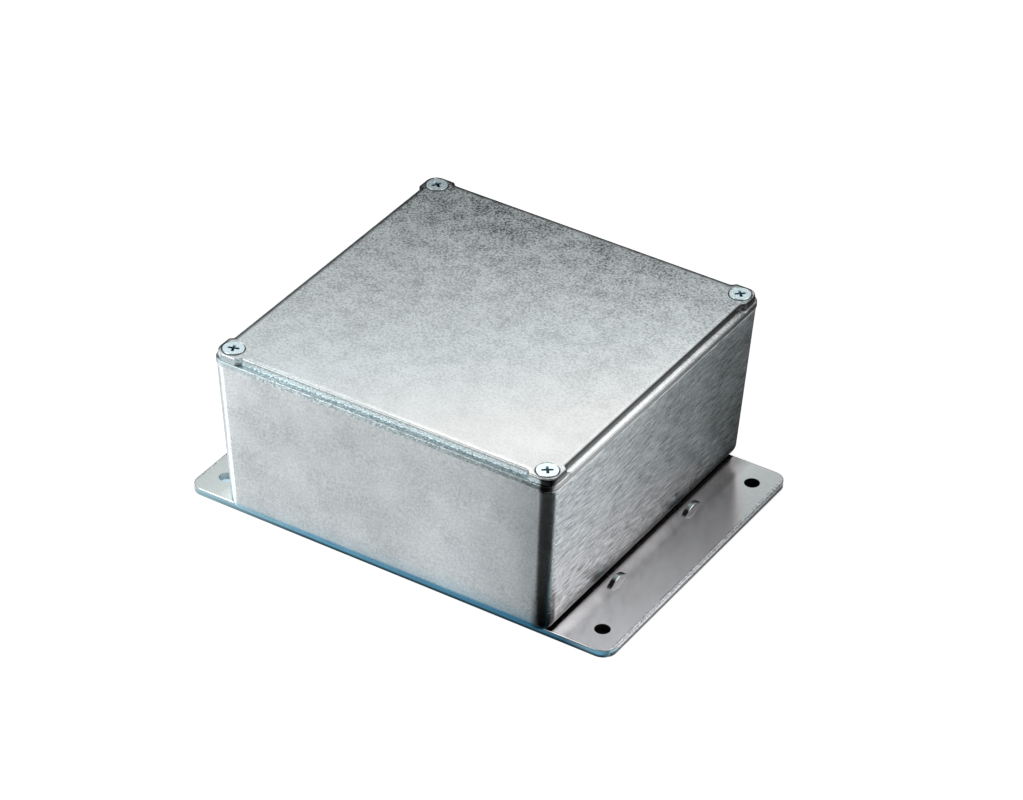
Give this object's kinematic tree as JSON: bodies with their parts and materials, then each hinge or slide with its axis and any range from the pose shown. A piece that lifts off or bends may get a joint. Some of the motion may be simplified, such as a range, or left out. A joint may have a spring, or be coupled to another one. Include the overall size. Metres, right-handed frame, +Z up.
{
  "type": "electronics enclosure",
  "caption": "Square die-cast metal box with a screwed stepped lid, on a flat flange plate with corner mounting holes; it houses electronics and screws to a panel.",
  "frame": {"origin": "middle of the flange plate's underside, which is the middle of the bounding box's bottom", "axes": "+Z up through the lid; X along the flange plate's long way, so the two flanges stick out at +X and -X; Y along the plate's short way"},
  "size_m": [0.1522, 0.1212, 0.0618],
  "materials": {
    "box_casting": "as-cast satin with a fine brushed grain",
    "lid_casting": "as-cast, finely mottled",
    "lid_screw_zinc": "bright zinc plate",
    "plate_sheet": "smooth mill finish",
    "plate_screw_zinc": "bright zinc plate"
  },
  "bodies": {
    "root": {"box_body": "box_casting", "lid": "lid_casting", "lid_screws": "lid_screw_zinc", "mounting_plate": "plate_sheet", "plate_screws": "plate_screw_zinc"}
  },
  "joints": []
}
